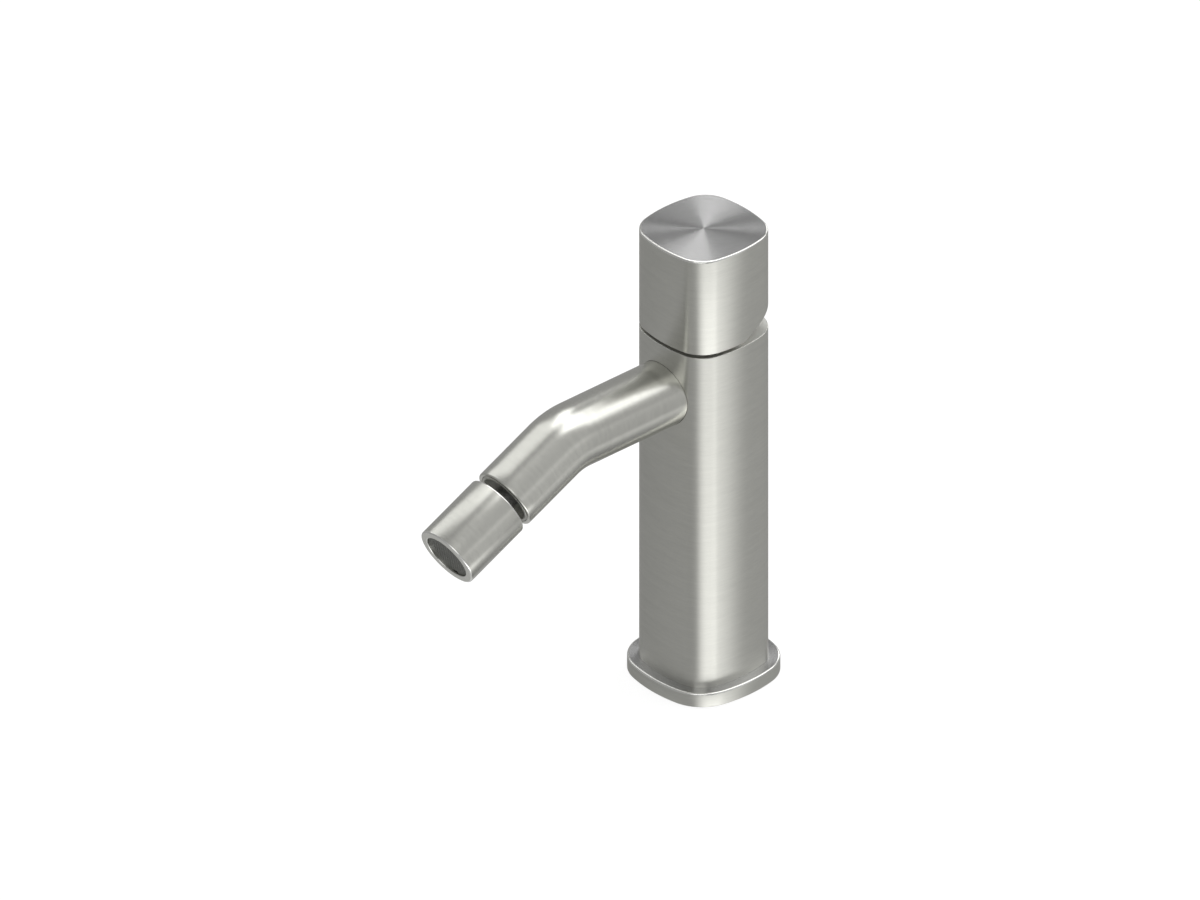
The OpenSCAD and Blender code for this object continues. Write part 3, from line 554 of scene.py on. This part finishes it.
def spout_stations():
    """Stations from the root to where the rim's rounding starts."""
    tangent = BEND_R * math.tan(BEND_ANGLE / 2)
    root = BEND_Y - tangent - SPOUT_ROOT
    stations = [(-SPOUT_ROOT - root * i / ROOT_STEPS, SPOUT_Z, 0.0) for i in range(ROOT_STEPS)]
    for i in range(BEND_STEPS + 1):
        a = BEND_ANGLE * i / BEND_STEPS
        y = tangent - BEND_Y - BEND_R * math.sin(a)
        stations.append((y, SPOUT_Z - BEND_R * (1 - math.cos(a)), a))
    corner = (-BEND_Y, SPOUT_Z, BEND_ANGLE)
    outlet = OUTLET_L - RIM_EDGE - tangent
    for i in range(1, OUTLET_STEPS + 1):
        stations.append(further(corner, tangent + outlet * i / OUTLET_STEPS))
    return stations


def spout_path():
    """Stations with radii: outside to the rounded end, and back along the bore."""
    stations = spout_stations()
    path = [(station, SPOUT_R) for station in stations]
    for inset, drop in edge_steps(RIM_EDGE)[1:]:
        path.append((further(stations[-1], RIM_EDGE - drop), SPOUT_R - inset))
    end = path[-1][0]
    path.append((end, SPOUT_BORE_R + SMALL_EDGE))
    path.append((further(end, -SMALL_EDGE), SPOUT_BORE_R))
    return path + [(station, SPOUT_BORE_R) for station in stations[::-1]]


def tube_ring(bm, station, radius):
    y, z, slope = station
    ring = []
    for i in range(ROUND_STEPS):
        a = 2 * math.pi * i / ROUND_STEPS
        ring.append(bm.verts.new((radius * math.sin(a), y + radius * math.cos(a) * math.sin(slope),
                                  z - radius * math.cos(a) * math.cos(slope))))
    return ring


def make_spout():
    """The tube as one closed surface. Its UV map gives the metres round it and along it."""
    path = spout_path()
    along = [0.0]
    for (here, r0), (there, r1) in zip(path, path[1:]):
        along.append(along[-1] + math.dist((*here[:2], r0), (*there[:2], r1)))
    along.append(along[-1] + SPOUT_R - SPOUT_BORE_R)
    around = 2 * math.pi * SPOUT_R / ROUND_STEPS
    bm = bmesh.new()
    uv = bm.loops.layers.uv.new(TUBE_UV)
    rings = [tube_ring(bm, station, radius) for station, radius in path]
    for k, (low, high) in enumerate(zip(rings, rings[1:] + rings[:1])):
        for i in range(ROUND_STEPS):
            j = (i + 1) % ROUND_STEPS
            face = bm.faces.new((low[i], low[j], high[j], high[i]))
            corners = ((i, k), (i + 1, k), (i + 1, k + 1), (i, k + 1))
            for loop, (turn, step) in zip(face.loops, corners):
                loop[uv].uv = (turn * around, along[step])
    bmesh.ops.recalc_face_normals(bm, faces=bm.faces)
    return shade(new_piece("spout", bm, (tube_steel,)))


def make_socket():
    """The ring inside the spout's end, with its dark recess."""
    outer = SPOUT_BORE_R - SPOUT_FIT
    inner = outer - SOCKET_WALL
    floor = OUTLET_L - SOCKET_DEPTH
    profile = rounded([
        (JOURNAL_R, floor - SOCKET_FLOOR, 0), (outer, floor - SOCKET_FLOOR, SMALL_EDGE),
        (outer, OUTLET_L, SOCKET_EDGE), (inner, OUTLET_L, SMALL_EDGE),
        (inner, floor, SMALL_EDGE), (JOURNAL_R, floor, SMALL_EDGE),
    ])
    return shade(place(ring_solid("socket_ring", profile, (satin_painted_sheen_steel,)), along_outlet(0)))


# Nozzle. Its second material is for the rounded rims.
RIM_INDEX = 1


def make_nozzle():
    """The swivelling sleeve, with a lip over the ball's seat and a wider outlet."""
    shoulder = NOZZLE_L - OUTLET_DEPTH
    profile = rounded([
        (LIP_R, 0, SMALL_EDGE), (SPOUT_R, 0, RIM_EDGE), (SPOUT_R, NOZZLE_L, RIM_EDGE),
        (OUTLET_BORE_R, NOZZLE_L, RIM_EDGE / 2), (OUTLET_BORE_R, shoulder, 0),
        (NOZZLE_BORE_R, shoulder, 0), (NOZZLE_BORE_R, LIP_H, 0), (LIP_R, LIP_H, SMALL_EDGE),
    ])
    sleeve = ring_solid("nozzle_sleeve", profile, (nozzle_steel, edge_highlight_steel))
    for face in sleeve.data.polygons:
        if SLANTED < abs(face.normal.z) < LEVEL:
            face.material_index = RIM_INDEX
    return shade(place(sleeve, along_outlet(NOZZLE_START)))


def make_grille():
    """The outlet's grille, with holes so fine that it looks plain from a distance."""
    row = HOLE_PITCH * math.sqrt(3) / 2
    reach = int(HOLE_FIELD_R / row) + 1
    steps = range(-reach, reach + 1)
    grid = [((i + j % 2 / 2) * HOLE_PITCH, j * row) for j in steps for i in steps]
    spots = [spot for spot in grid if math.hypot(*spot) < HOLE_FIELD_R]
    grille = rod("grille", GRILLE_R, 0, GRILLE_H, materials=(by_slot["dark_plastic"],))
    cut(grille, rod("holes", HOLE_R, -OVER, GRILLE_H + OVER, HOLE_STEPS, spots))
    return shade(place(grille, along_outlet(NOZZLE_START + GRILLE_END - GRILLE_H)))


for make, body, replaced, slot in (
    (make_column, "tap", "column_shell", "brushed_steel"),
    (make_flange, "tap", "base_flange", "brushed_steel"),
    (make_spout, "tap", "spout_tube", "brushed_steel"),
    (make_socket, "tap", "nozzle_socket", "brushed_steel"),
    (make_knob, "knob_head", "knob", "brushed_steel"),
    (make_nozzle, "nozzle", "nozzle_housing", "brushed_steel"),
    (make_grille, "nozzle", "aerator_grille", "dark_plastic"),
):
    piece = make()
    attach(piece, body)
    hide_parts(replaced)


# Studio. To the camera the floor is white: SHADOW_COLOUR takes light and shadow, and SHADOW_GLOW
# fills it up. It sends out light as FLOOR_COLOUR does.
WHITE = (1, 1, 1, 1)
FLOOR_REACH = 3.0
FLOOR_COLOUR = (0.6, 0.6, 0.59, 1)
SHADOW_COLOUR = (0.25, 0.25, 0.25, 1)
SHADOW_GLOW = 0.84

# What metal mirrors. ROOM is its brightness above the ground. The ground's brightness goes by how
# far a direction faces POOL_AZIMUTH, from -1 to 1: each row has two brightnesses, and the two
# facings that they belong to. FAR_GROUND and POOL add up, and straight below NEAR_GROUND
# multiplies them.
ROOM = 0.37
POOL_AZIMUTH = math.radians(79)
FAR_GROUND = (0.31, 0.64, -0.9, 0.6)
POOL = (0, 2.95, 0.62, 0.97)
NEAR_GROUND = (2.0, 0.3, -0.9, 0.2)

# Heights of a direction, from -1 straight down to 0 level, over which the near ground gives way to
# the far ground, and the ground to the room
NEAR_TO_FAR = (-0.83, -0.58)
GROUND_TO_ROOM = (-0.55, -0.38)

# Lamps, which all face STUDIO_CENTRE: azimuth and elevation in degrees, width, height, and the
# brightness of the surface
STUDIO_CENTRE = Vector((0, -40 * MM, 100 * MM))
LAMP_DISTANCE = 2.0
LAMPS = {
    "back_right": (162, 54, 1.5, 2.1, 1.5),
    "overhead": (236, 57, 0.54, 0.95, 2.0),
    "zenith": (180, 80, 1.8, 0.66, 0.72),
    "strip_left": (275, 52, 0.8, 2.5, 0.88),
    "rim_back": (203, 22, 0.5, 0.6, 3.0),
    "front_right": (42, 28, 1.3, 1.4, 1.2),
    "fill_right": (100, 43, 2.2, 3.0, 0.18),
    "band_right": (107, -2, 1.5, 1.4, 0.24),
}


def direction(azimuth, elevation):
    """Unit vector towards a place in the room. Azimuth 0 is the front, and 90 degrees the right."""
    flat = math.cos(elevation)
    return Vector((math.sin(azimuth) * flat, -math.cos(azimuth) * flat, math.sin(elevation)))


def seen_by_camera(tree, for_camera, otherwise):
    """The first shader to the camera's own rays, and the second to all others."""
    ray = add(tree, "ShaderNodeLightPath")
    inputs = {0: ray.outputs["Is Camera Ray"], 1: otherwise, 2: for_camera}
    return add(tree, "ShaderNodeMixShader", inputs).outputs[0]


def make_floor():
    """The pale floor. Metal doesn't mirror it, but the room's ground."""
    bm = bmesh.new()
    bmesh.ops.create_grid(bm, x_segments=1, y_segments=1, size=FLOOR_REACH)
    material, tree, output = new_material("pale_floor")
    plain = add(tree, "ShaderNodeBsdfDiffuse", {"Color": FLOOR_COLOUR}).outputs[0]
    shadow = add(tree, "ShaderNodeBsdfDiffuse", {"Color": SHADOW_COLOUR}).outputs[0]
    glow = add(tree, "ShaderNodeEmission", {"Strength": SHADOW_GLOW}).outputs[0]
    white = add(tree, "ShaderNodeAddShader", {0: shadow, 1: glow}).outputs[0]
    tree.links.new(seen_by_camera(tree, white, plain), output.inputs[0])
    floor = new_piece("floor", bm, (material,))
    floor.visible_glossy = False
    return floor


def make_world():
    """White to the camera. Metal sees an even room, and below it a ground with a bright pool."""
    world = bpy.data.worlds.new("studio")
    bpy.context.scene.world = world
    world.use_nodes = True
    tree = world.node_tree
    tree.nodes.clear()
    way = add(tree, "ShaderNodeTexCoord").outputs["Generated"]
    flat = vector_maths(tree, "MULTIPLY", {0: way, 1: NO_HEIGHT})
    heading = vector_maths(tree, "NORMALIZE", {0: flat})
    towards_pool = direction(POOL_AZIMUTH, 0)
    facing = vector_maths(tree, "DOT_PRODUCT", {0: heading, 1: towards_pool}, "Value")
    far = maths(tree, "ADD", spread(tree, facing, *FAR_GROUND), spread(tree, facing, *POOL))
    height = add(tree, "ShaderNodeSeparateXYZ", {0: way}).outputs["Z"]
    near = spread(tree, height, spread(tree, facing, *NEAR_GROUND), 1, *NEAR_TO_FAR)
    ground = maths(tree, "MULTIPLY", far, near)
    strength = mixed(tree, spread(tree, height, 0, 1, *GROUND_TO_ROOM), ground, ROOM)
    white = add(tree, "ShaderNodeBackground", {"Color": WHITE, "Strength": 1.0}).outputs[0]
    room = add(tree, "ShaderNodeBackground", {"Color": WHITE, "Strength": strength}).outputs[0]
    output = add(tree, "ShaderNodeOutputWorld")
    tree.links.new(seen_by_camera(tree, white, room), output.inputs[0])


def softbox(name, azimuth, elevation, width, height, brightness):
    """A rectangular lamp that faces the mixer, and that the camera doesn't see."""
    lamp = bpy.data.lights.new(name, "AREA")
    lamp.shape = "RECTANGLE"
    lamp.size = width
    lamp.size_y = height
    lamp.energy = brightness * math.pi * width * height
    holder = bpy.data.objects.new(name, lamp)
    away = direction(math.radians(azimuth), math.radians(elevation))
    holder.location = STUDIO_CENTRE + away * LAMP_DISTANCE
    holder.rotation_euler = (-away).to_track_quat("-Z", "Y").to_euler()
    holder.visible_camera = False
    bpy.context.scene.collection.objects.link(holder)


make_floor()
make_world()
for name, lamp in LAMPS.items():
    softbox(name, *lamp)


# Camera. The photograph is taken as seen without perspective, and ORIGIN_PIXEL is where the middle
# of the flange's underside falls in it.
AZIMUTH = math.radians(48.0)
ELEVATION = math.radians(31.9)
PHOTO_W = 1200
PHOTO_H = 900
PIXELS_PER_METRE = 2880
ORIGIN_PIXEL = (703.7, 667.0)
CAMERA_DISTANCE = 1.5


def make_camera():
    towards = direction(AZIMUTH, ELEVATION)
    right = Vector((math.cos(AZIMUTH), math.sin(AZIMUTH), 0))
    up = towards.cross(right)
    across = (PHOTO_W / 2 - ORIGIN_PIXEL[0]) / PIXELS_PER_METRE
    lift = (ORIGIN_PIXEL[1] - PHOTO_H / 2) / PIXELS_PER_METRE
    lens = bpy.data.cameras.new("camera")
    lens.type = "ORTHO"
    lens.ortho_scale = PHOTO_W / PIXELS_PER_METRE
    camera = bpy.data.objects.new("camera", lens)
    camera.location = right * across + up * lift + towards * CAMERA_DISTANCE
    camera.rotation_euler = Matrix((right, up, towards)).transposed().to_euler()
    bpy.context.scene.collection.objects.link(camera)
    bpy.context.scene.camera = camera


make_camera()
bpy.context.scene.view_settings.view_transform = "Standard"


def plain(bounds):
    return [[float(v) for v in corner] for corner in bounds]
